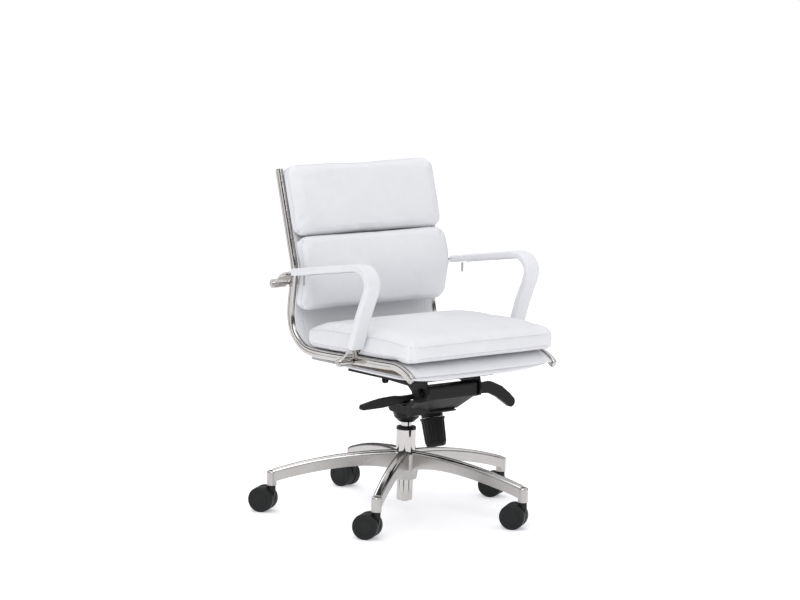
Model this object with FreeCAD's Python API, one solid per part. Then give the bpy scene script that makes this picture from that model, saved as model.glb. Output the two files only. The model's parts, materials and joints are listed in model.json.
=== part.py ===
import FreeCAD, Part
import math
import os

os.makedirs("parts", exist_ok=True)
V = FreeCAD.Vector

# Swivel office chair. Millimetres, +Z up, the origin on the floor under the column,
# the sitter faces -Y. One STEP file is written for each separate piece.

# ---- driving dimensions -------------------------------------------------------------
FIT = 0.05                    # radial clearance of a shaft that turns or slides in a hole
GAP = 0.5                     # air between neighbouring pieces that only lie together
DATUM = -6.0                  # heights above the castors are drawn from a plane 6 mm under the floor

LEG_ANGLES = (145.4, 217.4, 289.4, 1.4, 73.4)     # star legs, degrees from +X
CASTOR_TRAILS = (122.0, 121.0, 123.0, 118.0, 100.0)  # which way each castor points
LEG_NAMES = ("a", "b", "c", "d", "e")
CASTOR_RADIUS = 335.7         # column axis to castor stem
HUB_TOP = 163.0
HUB_BOTTOM = 94.0
HUB_R = 33.0
SOCKET_R = 12.6
SOCKET_BOTTOM = 74.0
SOCKET_TOP = 110.5

WHEEL_R = 32.0
WHEEL_INNER = 5.3             # inner face of a castor wheel from the castor's middle
WHEEL_OUTER = 25.0
TRAIL = 22.0
STEM_R = 5.5
AXLE_R = 3.0

TUBE_R = 25.0                 # stand tube above the hub
TUBE_LOW_R = 20.2             # stand tube below the hub
TUBE_TOP = 219.0
TUBE_BOTTOM = 40.0
BUSH_TOP = 227.0
CYL_R = 14.0                  # gas spring body
CYL_BORE_R = 12.0
CYL_BOTTOM = 62.0
CYL_TOP = 262.0
ROD_R = 5.0
BUTTON_R = 4.0
BUTTON_TOP = 275.0

PIVOT_Y = -151.0              # knee-tilt axis, parallel to X
PIVOT_Z = 338.0
PIN_R = 6.0
PAN_HALF = 40.0               # half width of the tilt housing
PAN_WALL = 4.0
LOCK_Y = -104.0               # axis of the tilt lock's shaft, parallel to X
LOCK_Z = 325.0
KNOB_Y = -97.0
KNOB_Z = 264.0
KNOB_TILT = 14.6              # lean of the knob's axis, degrees
PLATE_Z = 370.0
PLATE_T = 4.0

RIB_X = 234.0                 # middle of each side rib
RIB_W = 13.4
RIB_T = 22.0
ARM_X = 262.0
ARM_W = 38.0
ARM_T = 5.0
SLEEVE_W = 43.0
SLEEVE_T = 17.5
SLEEVE_REAR = 128.0           # where the sleeve stops short of the bar's rear bend
CROSS_ROD_R = 7.5
REAR_ROD = (200.0, 582.0)     # y, z of the rod behind the back
FRONT_ROD = (-63.0, 421.0)    # y, z of the stubs beside the seat

PAD_HALF = 237.0              # half width of the three cushions
SLING_LOW = 6.0               # sling's underside, measured from the rib's middle
SLING_HIGH = 9.0
PAD_BASE = 11.6               # underside of the cushions, measured the same way
PAD_ROUND = 8.0               # rounding of the cushions' edges

RIB_LINE = [(241, 860), (217.3, 780), (193.6, 700), (180, 654), (172.5, 624), (173, 598), (176, 574),
            (179.5, 545), (182, 512), (179, 487), (169, 462), (147, 440), (131, 430), (113, 424),
            (80, 420.5), (20, 421), (-46, 423), (-100, 425), (-156, 426.5), (-200, 428),
            (-230, 427.5), (-252, 421.5), (-282, 404)]
ARM_LINE = [(196, 583), (184, 592), (168, 607), (150, 615), (121, 620), (70, 629), (15, 638),
            (-45, 647.5), (-100, 656), (-128, 656), (-150, 644), (-160.5, 622), (-156, 600),
            (-143, 570), (-125, 524), (-98, 453), (-85, 437), (-71, 427)]


# ---- small helpers --------------------------------------------------------------------
def save(name, shape, shift=DATUM):
    """Write one piece as its own STEP file, moved to its height above the floor."""
    placed = shape.copy()
    placed.translate(V(0, 0, shift))
    placed.exportStep("parts/" + name + ".step")


def block(x0, x1, y0, y1, z0, z1):
    """A box between two corners."""
    return Part.makeBox(x1 - x0, y1 - y0, z1 - z0, V(x0, y0, z0))


def post(radius, z0, z1, x=0.0, y=0.0):
    """An upright cylinder."""
    return Part.makeCylinder(radius, z1 - z0, V(x, y, z0))


def cross_bar(radius, x0, x1, y, z):
    """A cylinder along X."""
    return Part.makeCylinder(radius, x1 - x0, V(x0, y, z), V(1, 0, 0))


def bar_between(start, end, radius):
    """A cylinder from one point to another."""
    way = V(*end) - V(*start)
    return Part.makeCylinder(radius, way.Length, V(*start), way)


def bent_rod(points, radius):
    """A rod through the points, with a ball at each bend."""
    pieces = [bar_between(a, b, radius) for a, b in zip(points, points[1:])]
    pieces += [Part.makeSphere(radius, V(*point)) for point in points[1:-1]]
    return pieces[0].multiFuse(pieces[1:]).removeSplitter()


def prism(outline, x0, x1):
    """A closed outline of (y, z) points pulled along X."""
    corners = [V(x0, y, z) for y, z in outline]
    face = Part.Face(Part.makePolygon(corners + [corners[0]]))
    return face.extrude(V(x1 - x0, 0, 0))


def curve_through(points, x=0.0):
    """A smooth curve through (y, z) points."""
    curve = Part.BSplineCurve()
    curve.interpolate([V(x, y, z) for y, z in points])
    return curve


def samples(points, count):
    """Evenly stepped (y, z, normal y, normal z); the normal points to the sitter's side."""
    curve = curve_through(points)
    found = []
    for step in range(count):
        u = curve.FirstParameter + (curve.LastParameter - curve.FirstParameter) * step / (count - 1)
        spot = curve.value(u)
        way = curve.tangent(u)[0]
        found.append((spot.y, spot.z, way.z, -way.y))
    return found


def shifted(spots, distance):
    """The sampled curve moved sideways by a distance."""
    return [(y + ny * distance, z + nz * distance) for y, z, ny, nz in spots]


def outline_prism(lower, upper, x0, x1):
    """A solid between two smooth (y, z) curves, pulled along X."""
    low = curve_through(lower, x0).toShape()
    high = curve_through(upper, x0).toShape()
    start = Part.makeLine(V(x0, *lower[0]), V(x0, *upper[0]))
    end = Part.makeLine(V(x0, *lower[-1]), V(x0, *upper[-1]))
    face = Part.Face(Part.Wire(Part.__sortEdges__([low, end, high, start])))
    return face.extrude(V(x1 - x0, 0, 0))


def ribbon(spots, low, high, x0, x1):
    """A band that follows a sampled curve, from one sideways distance to another."""
    return outline_prism(shifted(spots, low), shifted(spots, high), x0, x1)


def rounded(solid, radius, picks):
    """The solid with the picked edges rounded."""
    return solid.makeFillet(radius, [edge for edge in solid.Edges if picks(edge)])


def mirrored(solid):
    """The same piece on the chair's other side."""
    return solid.mirror(V(0, 0, 0), V(1, 0, 0))


def turned(solid, angle, about=(0, 0, 0), axis=(0, 0, 1)):
    """A copy turned about an axis."""
    copy = solid.copy()
    copy.rotate(V(*about), V(*axis), angle)
    return copy


# ---- star base ------------------------------------------------------------------------
def leg_top(radius):
    """Height of a leg's back at a distance from the column."""
    return 166.0 - 55.0 * (radius / 345.0) ** 2


def leg_section(radius, width, low, high, corner):
    """An upright cross-section of a leg with two rounded top corners."""
    half = width / 2
    bend = corner * (1 - math.sqrt(0.5))
    left = [V(radius, -half, low), V(radius, -half, high - corner)]
    right = [V(radius, half, high - corner), V(radius, half, low)]
    arc_left = Part.Arc(left[1], V(radius, -half + bend, high - bend), V(radius, -half + corner, high))
    arc_right = Part.Arc(V(radius, half - corner, high), V(radius, half - bend, high - bend), right[0])
    top = Part.makeLine(V(radius, -half + corner, high), V(radius, half - corner, high))
    return Part.Wire([Part.makeLine(*left), arc_left.toShape(), top, arc_right.toShape(),
                      Part.makeLine(*right), Part.makeLine(right[1], left[0])])


def star_leg():
    """One leg along +X: a lofted back over an open channel."""
    stations = ((22, 31, 50), (60, 29, 40), (110, 27, 34), (180, 25.5, 32), (260, 24, 31.5), (334, 22.4, 32))
    outer = [leg_section(r, w, leg_top(r) - h, leg_top(r), 8.0) for r, w, h in stations]
    inner = [leg_section(r, w - 9, leg_top(r) - h - 2, leg_top(r) - 8, 4.0) for r, w, h in stations]
    leg = Part.makeLoft(outer, True).cut(Part.makeLoft(inner, True))
    socket = post(SOCKET_R, SOCKET_BOTTOM, SOCKET_TOP, CASTOR_RADIUS)
    socket = rounded(socket, 4.5, lambda edge: edge.BoundBox.ZMin > SOCKET_TOP - 0.1)
    return leg.fuse(socket)


def star_base():
    """Hub, five legs and five castor sockets as one casting."""
    hub = post(HUB_R, 116, HUB_TOP)
    hub = rounded(hub, 5.0, lambda edge: edge.BoundBox.ZMin > HUB_TOP - 0.1)
    boss = Part.makeCone(29.0, HUB_R, 22.5, V(0, 0, HUB_BOTTOM))
    leg = star_leg()
    star = hub.multiFuse([boss] + [turned(leg, angle) for angle in LEG_ANGLES])
    bores = [turned(post(STEM_R + FIT, SOCKET_BOTTOM - 1, 104, CASTOR_RADIUS), a) for a in LEG_ANGLES]
    return star.cut(bores[0].multiFuse(bores[1:])).cut(tube_outside()).removeSplitter()


# ---- column ---------------------------------------------------------------------------
def tube_outside():
    """The stand tube's outer form: it narrows where it wedges into the hub."""
    taper = Part.makeCone(TUBE_LOW_R, TUBE_R, HUB_TOP - HUB_BOTTOM, V(0, 0, HUB_BOTTOM))
    low = post(TUBE_LOW_R, TUBE_BOTTOM, HUB_BOTTOM)
    high = post(TUBE_R, HUB_TOP, TUBE_TOP)
    return low.multiFuse([taper, high])


def stand_tube():
    """The steel tube with a closed foot that carries the piston rod."""
    hollow = post(18.0, 46, 110).fuse(post(22.0, 166, TUBE_TOP + 1))
    hollow = hollow.fuse(Part.makeCone(18.0, 22.0, 56, V(0, 0, 110)))
    return tube_outside().cut(hollow).cut(post(ROD_R + FIT, TUBE_BOTTOM - 1, 47))


def guide_bush():
    """The plastic sleeve that guides the gas spring, with its collar on the tube."""
    sleeve = post(22.0, 168, TUBE_TOP)
    collar = post(TUBE_R, TUBE_TOP, BUSH_TOP)
    collar = rounded(collar, 3.0, lambda edge: edge.BoundBox.ZMin > BUSH_TOP - 0.1)
    return sleeve.fuse(collar).cut(post(CYL_R + FIT, 167, BUSH_TOP + 1)).removeSplitter()


def thrust_bearing():
    """The washer stack under the gas spring."""
    return post(13.0, 46, 50.5).cut(post(ROD_R + 0.5, 45, 52))


def piston_rod():
    """Rod, piston and the foot clip that stops it lifting out of the tube."""
    rod = post(ROD_R, 36, 178)
    piston = post(CYL_BORE_R - FIT, 178, 190)
    clip = post(8.5, 36, TUBE_BOTTOM - GAP)
    return rod.multiFuse([piston, clip]).removeSplitter()


def gas_cylinder():
    """The gas spring's body: it slides over the piston and wedges in the tilt housing."""
    body = post(CYL_R, CYL_BOTTOM, 238).fuse(cylinder_taper())
    bore = post(CYL_BORE_R, CYL_BOTTOM + 12, 243)
    ends = post(ROD_R + FIT, CYL_BOTTOM - 1, CYL_BOTTOM + 13).fuse(post(BUTTON_R + FIT, 242, CYL_TOP + 1))
    return body.cut(bore).cut(ends).removeSplitter()


def cylinder_taper():
    """The gas spring's tapered head."""
    return Part.makeCone(CYL_R, CYL_R - 1.0, CYL_TOP - 238, V(0, 0, 238))


# ---- castors --------------------------------------------------------------------------
def castor_pieces():
    """One castor in its own frame: swivel axis up through the origin, trail along +X."""
    mouth = SOCKET_BOTTOM + DATUM
    stem_top = 103.2 + DATUM
    web = Part.makeCylinder(WHEEL_R - 2.0, 9.0, V(TRAIL, -4.5, WHEEL_R), V(0, 1, 0))
    neck = post(10.5, 50, mouth - 0.6)
    room = Part.makeCylinder(WHEEL_R + 1.2, 15, V(TRAIL, 4.5, WHEEL_R), V(0, 1, 0))
    room = room.fuse(Part.makeCylinder(WHEEL_R + 1.2, 15, V(TRAIL, -19.5, WHEEL_R), V(0, 1, 0)))
    cheek = block(-9, TRAIL, -4.5, 4.5, 34, 62)
    housing = neck.cut(room).multiFuse([web, cheek]).removeSplitter()
    stem = post(STEM_R, 60, stem_top)
    axle = Part.makeCylinder(AXLE_R, 41, V(TRAIL, -20.5, WHEEL_R), V(0, 1, 0))
    housing = housing.cut(post(STEM_R, 60, 80)).cut(axle)
    wheel = Part.makeCylinder(WHEEL_R, WHEEL_OUTER - WHEEL_INNER, V(TRAIL, WHEEL_INNER, WHEEL_R), V(0, 1, 0))
    wheel = wheel.makeFillet(3.5, [e for e in wheel.Edges if len(e.Vertexes) == 1 and e.BoundBox.YLength < 0.1])
    groove = Part.makeCylinder(20.5, 3, V(TRAIL, WHEEL_OUTER - 0.8, WHEEL_R), V(0, 1, 0))
    groove = groove.cut(Part.makeCylinder(19.0, 3, V(TRAIL, WHEEL_OUTER - 0.8, WHEEL_R), V(0, 1, 0)))
    bore = Part.makeCylinder(AXLE_R + FIT, 17, V(TRAIL, WHEEL_INNER - 1, WHEEL_R), V(0, 1, 0))
    wheel = wheel.cut(groove).cut(bore)
    other = wheel.mirror(V(0, 0, 0), V(0, 1, 0))
    return {"castor_housing": housing, "castor_stem": stem, "castor_axle": axle,
            "castor_wheel_left": wheel, "castor_wheel_right": other}


def save_castors():
    """Place the castor under each leg's socket."""
    pieces = castor_pieces()
    for name, leg, trail in zip(LEG_NAMES, LEG_ANGLES, CASTOR_TRAILS):
        x = CASTOR_RADIUS * math.cos(math.radians(leg))
        y = CASTOR_RADIUS * math.sin(math.radians(leg))
        for kind, solid in pieces.items():
            placed = turned(solid, trail)
            placed.translate(V(x, y, 0))
            save(kind + "_" + name, placed, 0.0)


# ---- tilt mechanism -------------------------------------------------------------------
def knob_axis_point(distance):
    """A point on the knob's axis; positive distances are above the housing's boss."""
    lean = math.radians(KNOB_TILT)
    return V(0, KNOB_Y + distance * math.sin(lean), KNOB_Z + distance * math.cos(lean))


def along_knob(radius, low, high):
    """A cylinder on the knob's axis between two distances."""
    start = knob_axis_point(low)
    return Part.makeCylinder(radius, high - low, start, knob_axis_point(high) - start)


def level_frame(half, y0, y1, z):
    """A level rectangle, centred on the chair, as a wire."""
    corners = [V(-half, y0, z), V(half, y0, z), V(half, y1, z), V(-half, y1, z)]
    return Part.makePolygon(corners + [corners[0]])


def tilt_housing():
    """The pan that carries the pivot tube, the lever holes and the socket for the gas spring."""
    outside = prism([(40, 276), (15, 266), (-60, 266), (-134, 286), (-138, 345), (-134, 345), (-35, 285),
                     (40, 285)], -PAN_HALF, PAN_HALF)
    outside = rounded(outside, 24.0, lambda e: e.BoundBox.YMin > 39.9 and e.BoundBox.XLength < 0.1)
    inside = prism([(36, 281), (13, 271), (-62, 271), (-130, 290), (-130, 380), (36, 380)],
                   PAN_WALL - PAN_HALF, PAN_HALF - PAN_WALL)
    inside = rounded(inside, 20.0, lambda e: e.BoundBox.YMin > 35.9 and e.BoundBox.XLength < 0.1)
    bowl = Part.makeCone(19.5, 31.0, 11, V(0, 0, 239)).fuse(Part.makeCone(31.0, 38.0, 21, V(0, 0, 250)))
    beam = block(-79, 79, -172, -134, 321, 357)
    beam = rounded(beam, 6.0, lambda e: e.BoundBox.XLength > 100)
    lip = prism([(-52, 260.5), (-138, 283.5), (-138, 287.5), (-52, 264.5)], -50, 50)
    lip = rounded(lip, 14.0, lambda e: 3 < e.Length < 5 and e.BoundBox.XLength < 0.1)
    wedge = Part.makeLoft([level_frame(76, -170, -135, 324), level_frame(48, -134, -70, 289)], True, True)
    pan = outside.multiFuse([bowl, lip, wedge, along_knob(27, 0, 20)]).cut(inside)
    ears = block(-36.5, -24, -106, -101.5, 310, 330).fuse(block(-36.5, -24, -88.5, -84, 310, 330))
    pan = pan.multiFuse([beam, ears])
    pan = pan.cut(cylinder_taper()).cut(post(9.0, 261, 276))
    pan = pan.cut(cross_bar(PIN_R, -80, 80, PIVOT_Y, PIVOT_Z)).cut(along_knob(ROD_R + FIT, -1, 30))
    pan = pan.cut(block(-41, -35, -100.5, -89.5, 314, 332))
    pan = pan.cut(Part.makeCylinder(3.0 + FIT, 24, V(-31, -107, 322), V(0, 1, 0)))
    return pan.cut(cross_bar(4.0 + FIT, 35, 41, LOCK_Y, LOCK_Z)).removeSplitter()


def tension_spring():
    """The coil round the tension screw."""
    coil = Part.makeHelix(7.0, 24, 11.0)
    wire = Part.Wire([Part.makeCircle(1.9, V(11, 0, 0), V(0, 1, 0.1085))])
    spring = Part.Wire(coil.Edges).makePipeShell([wire], True, True)
    spring.rotate(V(0, 0, 0), V(1, 0, 0), -KNOB_TILT)
    spring.translate(knob_axis_point(23.5))
    return spring


def tension_knob():
    """The fluted hand knob with its screw."""
    grip = Part.makeCone(25.2, 28.0, 73.0, V(0, 0, -74.0))
    grip = rounded(grip, 8.0, lambda edge: edge.BoundBox.ZMax < -70)
    grip.rotate(V(0, 0, 0), V(1, 0, 0), -KNOB_TILT)
    grip.translate(knob_axis_point(0))
    flutes = []
    for index in range(18):
        angle = math.radians(20 * index)
        way = V(math.cos(angle), math.sin(angle), 0)
        flute = Part.makeCylinder(2.4, 62, V(0, 0, -64) + way * 24.4, V(0, 0, 1) + way * 0.038)
        flute.rotate(V(0, 0, 0), V(1, 0, 0), -KNOB_TILT)
        flute.translate(knob_axis_point(0))
        flutes.append(flute)
    flange = along_knob(31.0, -7, -0.8)
    return grip.multiFuse(flutes + [flange, along_knob(ROD_R, -10, 46)])


def flat_lever(spots, low, high):
    """A flat moulded lever: discs of given radius at (x, z), joined, between two Y planes."""
    pieces = []
    for (x0, z0, r0), (x1, z1, r1) in zip(spots, spots[1:]):
        way = V(x1 - x0, 0, z1 - z0)
        side = V(-way.z, 0, way.x).normalize()
        corners = [V(x0, low, z0) + side * r0, V(x1, low, z1) + side * r1,
                   V(x1, low, z1) - side * r1, V(x0, low, z0) - side * r0]
        pieces.append(Part.Face(Part.makePolygon(corners + [corners[0]])).extrude(V(0, high - low, 0)))
    pieces += [Part.makeCylinder(r, high - low, V(x, low, z), V(0, 1, 0)) for x, z, r in spots]
    return pieces[0].multiFuse(pieces[1:]).removeSplitter()


def height_lever():
    """Outside paddle, pivot across the housing wall and the finger over the gas button."""
    shaft = bent_rod([(-104, -95, 320), (-31, -95, 322), (-20, -95, 321), (-20, -10, 281), (0, 0, 279)], 3.4)
    trunnion = Part.makeCylinder(3.0, 21, V(-31, -105.5, 322), V(0, 1, 0))
    finger = post(5.0, BUTTON_TOP + 0.4, 281)
    grip = flat_lever([(-58, 321.5, 5.5), (-98, 320, 6.0), (-122, 318, 10.5), (-165, 315, 11.5), (-196, 312.5, 9.5),
                       (-226, 309.5, 7.0)], -100, -89)
    return shaft.multiFuse([trunnion, finger, grip]).removeSplitter()


def lock_lever():
    """A shaft through the housing wall with a drooping paddle."""
    shaft = cross_bar(4.0, 12, 60, LOCK_Y, LOCK_Z)
    collar = cross_bar(5.5, 29, 35, LOCK_Y, LOCK_Z)
    grip = flat_lever([(52, 325, 5.5), (96, 325, 6.0), (122, 323, 9.5), (150, 325, 13.0), (182, 325, 15.0),
                       (214, 311, 15.5), (240, 293, 14.5), (255, 281, 13.0)], LOCK_Y - 5.5, LOCK_Y + 5.5)
    return shaft.multiFuse([collar, grip]).removeSplitter()


def pivot_pin():
    """The pin the seat tilts on, with two round heads."""
    heads = cross_bar(10.0, -102, -98.5, PIVOT_Y, PIVOT_Z).fuse(cross_bar(10.0, 98.5, 102, PIVOT_Y, PIVOT_Z))
    return cross_bar(PIN_R, -100, 100, PIVOT_Y, PIVOT_Z).fuse(heads).removeSplitter()


# ---- seat frame -----------------------------------------------------------------------
def bolt_spots():
    """Where the four bolts hold the plate to the board."""
    return [(x, y) for x in (-112, 112) for y in (-140, 52)]


def seat_plate():
    """The pressed plate with two side arms that hang on the pivot pin."""
    plate = block(-142, 142, -172, 76, PLATE_Z, PLATE_Z + PLATE_T)
    plate = rounded(plate, 18.0, lambda edge: edge.BoundBox.ZLength > PLATE_T - 0.1)
    plate = plate.cut(block(-62, 62, -118, 50, PLATE_Z - 1, PLATE_Z + PLATE_T + 1))
    arm = prism([(44, 371), (44, 365), (6, 358), (-104, 352), (-119, 340), (-124, 322), (-132, 314), (-150, 316), (-176, 324),
                 (-180, 340), (-170, 371)], 84, 90)
    boss = cross_bar(13.5, 80.5, 98, PIVOT_Y, PIVOT_Z)
    eye = cross_bar(8.5, 84, 92, -16, 354)
    side = arm.multiFuse([boss, eye])
    side = side.cut(cross_bar(PIN_R + FIT, 79, 104, PIVOT_Y, PIVOT_Z)).cut(cross_bar(4.2, 83, 93, -16, 353))
    whole = plate.multiFuse([side, mirrored(side)])
    for x, y in bolt_spots():
        whole = whole.cut(post(3.0, PLATE_Z - 1, PLATE_Z + PLATE_T + 1, x, y))
    return whole.removeSplitter()


def plate_bolt(x, y):
    """A round-headed bolt from below into the seat board."""
    head = post(6.5, PLATE_Z - 4.2, PLATE_Z, x, y)
    head = rounded(head, 2.0, lambda edge: edge.BoundBox.ZMax < PLATE_Z - 4.1)
    return head.fuse(post(3.0, PLATE_Z, 412, x, y)).removeSplitter()


def seat_board():
    """The plywood board that the bolts pull against."""
    board = block(-204, 204, -232, 96, 406, 417)
    board = rounded(board, 30.0, lambda edge: edge.BoundBox.ZLength > 10)
    for x, y in bolt_spots():
        board = board.cut(post(3.0, 405, 412, x, y))
    return board


def cover_section(y, belly, top):
    """An upright section of the seat base's padded underside."""
    half = 224.0
    edge = top - 3.5
    under = Part.BSplineCurve()
    under.interpolate([V(-half, y, edge), V(-203, y, edge - 0.3 * (edge - belly)), V(-150, y, edge - 0.85 * (edge - belly)),
                       V(0, y, belly), V(150, y, edge - 0.85 * (edge - belly)), V(203, y, edge - 0.3 * (edge - belly)),
                       V(half, y, edge)])
    corners = [V(half, y, edge), V(half, y, top), V(-half, y, top), V(-half, y, edge)]
    return Part.Wire([under.toShape()] + [Part.makeLine(a, b) for a, b in zip(corners, corners[1:])])


def seat_base_cover():
    """The upholstered belly under the seat, between the ribs."""
    stations = ((112, 399.5, 405.5), (84, 391, 405.5), (50, 382, 405.5), (0, 377, 405.5), (-80, 375.5, 405.5),
                (-170, 376, 405.5), (-225, 383, 405.5), (-262, 392, 405.5))
    cover = Part.makeLoft([cover_section(*station) for station in stations], True)
    plate_room = block(-143, 143, -173, 77, 366, PLATE_Z + PLATE_T + GAP)
    cover = cover.cut(plate_room)
    for x, y in bolt_spots():
        cover = cover.cut(post(3.5, 360, 410, x, y))
    return cover


def rib():
    """A side rib: a rounded bar with a groove along its outer face, from back top to seat front."""
    spots = samples(RIB_LINE, 70)
    inner = RIB_X - RIB_W / 2
    outer = RIB_X + RIB_W / 2
    bar = ribbon(spots, -RIB_T / 2, RIB_T / 2, inner, outer)
    bar = rounded(bar, 5.6, lambda e: e.BoundBox.XLength < 0.1 and e.Length > 100)
    grooved = [spot for spot in spots if spot[0] > -215]
    return bar.cut(ribbon(grooved, -1.3, 1.3, outer - 1.8, outer + 1))


def sling():
    """The leather sheet stretched between the ribs."""
    return ribbon(samples(RIB_LINE, 70), SLING_LOW, SLING_HIGH, -227.0, 227.0)


def rear_rod():
    """The rod behind the back, with a foot to each rib."""
    y, z = REAR_ROD
    feet = [Part.makeCylinder(5.5, 13, V(x, 186.6, z), V(0, 1, 0)) for x in (-RIB_X, RIB_X)]
    return cross_bar(CROSS_ROD_R, -284, 284, y, z).multiFuse(feet).removeSplitter()


def front_rod():
    """The stub that carries the arm's front end."""
    return cross_bar(CROSS_ROD_R, RIB_X + RIB_W / 2 + 0.3, 284, *FRONT_ROD)


# ---- arms -----------------------------------------------------------------------------
def arm_bar():
    """The flat bent bar with an eye round each rod."""
    x0 = ARM_X - ARM_W / 2
    x1 = ARM_X + ARM_W / 2
    bar = ribbon(samples(ARM_LINE, 60), -ARM_T / 2, ARM_T / 2, x0, x1)
    for y, z in (REAR_ROD, FRONT_ROD):
        bar = bar.fuse(cross_bar(CROSS_ROD_R + 4.0, x0, x1, y, z))
    for y, z in (REAR_ROD, FRONT_ROD):
        bar = bar.cut(cross_bar(CROSS_ROD_R, x0 - 1, x1 + 1, y, z))
    return bar.removeSplitter()


def sleeve_spots():
    """The stretch of the arm that the sleeve covers."""
    return [spot for spot in samples(ARM_LINE, 60) if spot[0] < SLEEVE_REAR and not (spot[0] > -101 and spot[1] < 470)]


def arm_sleeve():
    """The leather sleeve pulled over the bar."""
    spots = sleeve_spots()
    outer = ribbon(spots, -SLEEVE_T / 2, SLEEVE_T / 2, ARM_X - SLEEVE_W / 2, ARM_X + SLEEVE_W / 2)
    outer = rounded(outer, 5.0, lambda e: e.BoundBox.XLength < 0.1 and e.Length > 100)
    room = ribbon(samples(ARM_LINE, 60), -ARM_T / 2 - 0.3, ARM_T / 2 + 0.3,
                  ARM_X - ARM_W / 2 - 0.3, ARM_X + ARM_W / 2 + 0.3)
    return outer.cut(room)


def zip_pull():
    """The tab that hangs from the zip under the sleeve, with a round pin along its top."""
    tab = block(ARM_X - 3, ARM_X + 3, 98.2, 99.8, 588.5, 611)
    tab = rounded(tab, 2.5, lambda e: e.BoundBox.YLength > 1.5 and e.BoundBox.XLength < 0.1)
    return tab.fuse(cross_bar(1.6, ARM_X - 3, ARM_X + 3, 99, 610.5))


# ---- cushions -------------------------------------------------------------------------
def cushion(lower, upper):
    """A pad between two (y, z) curves with rounded edges."""
    return rounded(outline_prism(lower, upper, -PAD_HALF, PAD_HALF), PAD_ROUND, lambda edge: True)


def upper_pad():
    """The cushion behind the shoulders."""
    spots = [(y, z, ny, nz) for y, z, ny, nz in samples(RIB_LINE, 140) if z > 691.5]
    top = spots[0]
    rise = [(top[0] + top[3] * t, top[1] - top[2] * t, top[2], top[3]) for t in (3.0,)]
    return cushion(shifted(rise + spots, PAD_BASE), shifted(rise + spots, 43.0))


def lower_pad():
    """The cushion at the small of the back."""
    spots = [spot for spot in samples(RIB_LINE, 140) if 516 < spot[1] < 691.5]
    return cushion(shifted(spots, PAD_BASE), shifted(spots, 47.0))


def seat_pad():
    """The seat cushion, its front edge clear of the sling's fold."""
    under = [spot for spot in samples(RIB_LINE, 140) if -232 < spot[0] < 108 and spot[1] < 450]
    lower = shifted(under, PAD_BASE) + [(-262, 439.5), (-281, 442)]
    upper = [(122, 474), (90, 482), (40, 489), (-40, 493), (-140, 494), (-220, 492), (-281, 485)]
    return cushion(lower, upper)


# ---- write every piece ------------------------------------------------------------------
def save_all():
    """Build each piece and write its file."""
    save("star_base", star_base())
    save("stand_tube", stand_tube())
    save("guide_bush", guide_bush())
    save("thrust_bearing", thrust_bearing())
    save("piston_rod", piston_rod())
    save("gas_cylinder", gas_cylinder())
    save("release_button", post(BUTTON_R, 247, BUTTON_TOP))
    save_castors()
    save("tilt_housing", tilt_housing())
    save("pivot_pin", pivot_pin())
    save("tension_spring", tension_spring())
    save("tension_knob", tension_knob())
    save("height_lever", height_lever())
    save("lock_lever", lock_lever())
    save("seat_plate", seat_plate())
    for index, (x, y) in enumerate(bolt_spots()):
        save("plate_bolt_" + str(index + 1), plate_bolt(x, y))
    save("seat_board", seat_board())
    save("seat_base_cover", seat_base_cover())
    save("sling", sling())
    save("rear_rod", rear_rod())
    for side, build in (("left", mirrored), ("right", Part.Shape.copy)):
        save("rib_" + side, build(rib()))
        save("front_rod_" + side, build(front_rod()))
        save("arm_bar_" + side, build(arm_bar()))
        save("arm_sleeve_" + side, build(arm_sleeve()))
        save("zip_pull_" + side, build(zip_pull()))
    save("upper_pad", upper_pad())
    save("lower_pad", lower_pad())
    save("seat_pad", seat_pad())


save_all()
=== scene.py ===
"""Swivel office chair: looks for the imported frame.

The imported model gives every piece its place. Rigid pieces keep their meshes and get finishes; the
cushions, the sling, the seat's padded underside and the arm sleeves are remade as soft goods, with
seams, stitches, a zip under each arm and small fasteners.
"""

import json
import logging
import math
from dataclasses import dataclass
from enum import Enum
from typing import Sequence

import bmesh
import bpy
import numpy as np
from mathutils import Matrix, Vector, noise
from mathutils.bvhtree import BVHTree

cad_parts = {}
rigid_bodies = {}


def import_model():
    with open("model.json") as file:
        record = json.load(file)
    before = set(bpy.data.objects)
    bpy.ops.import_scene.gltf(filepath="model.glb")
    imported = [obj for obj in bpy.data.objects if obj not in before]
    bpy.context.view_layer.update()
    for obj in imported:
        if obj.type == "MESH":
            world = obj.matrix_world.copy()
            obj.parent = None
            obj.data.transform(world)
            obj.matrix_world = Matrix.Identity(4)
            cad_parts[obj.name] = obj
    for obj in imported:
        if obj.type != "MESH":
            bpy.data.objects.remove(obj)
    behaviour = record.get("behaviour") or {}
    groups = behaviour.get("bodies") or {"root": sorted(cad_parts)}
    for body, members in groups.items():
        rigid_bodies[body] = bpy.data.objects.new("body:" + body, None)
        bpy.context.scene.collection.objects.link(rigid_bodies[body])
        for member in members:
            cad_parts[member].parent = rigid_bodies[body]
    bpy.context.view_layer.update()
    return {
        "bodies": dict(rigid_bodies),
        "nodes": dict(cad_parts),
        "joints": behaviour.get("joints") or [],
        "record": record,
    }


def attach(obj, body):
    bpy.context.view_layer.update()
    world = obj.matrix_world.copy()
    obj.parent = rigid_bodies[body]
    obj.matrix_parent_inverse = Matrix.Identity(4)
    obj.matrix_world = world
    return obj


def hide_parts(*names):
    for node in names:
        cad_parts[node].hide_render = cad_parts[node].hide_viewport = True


LOG = logging.getLogger("office_chair")
MM = 0.001
ACROSS = (1.0, 0.0, 0.0)

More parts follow.
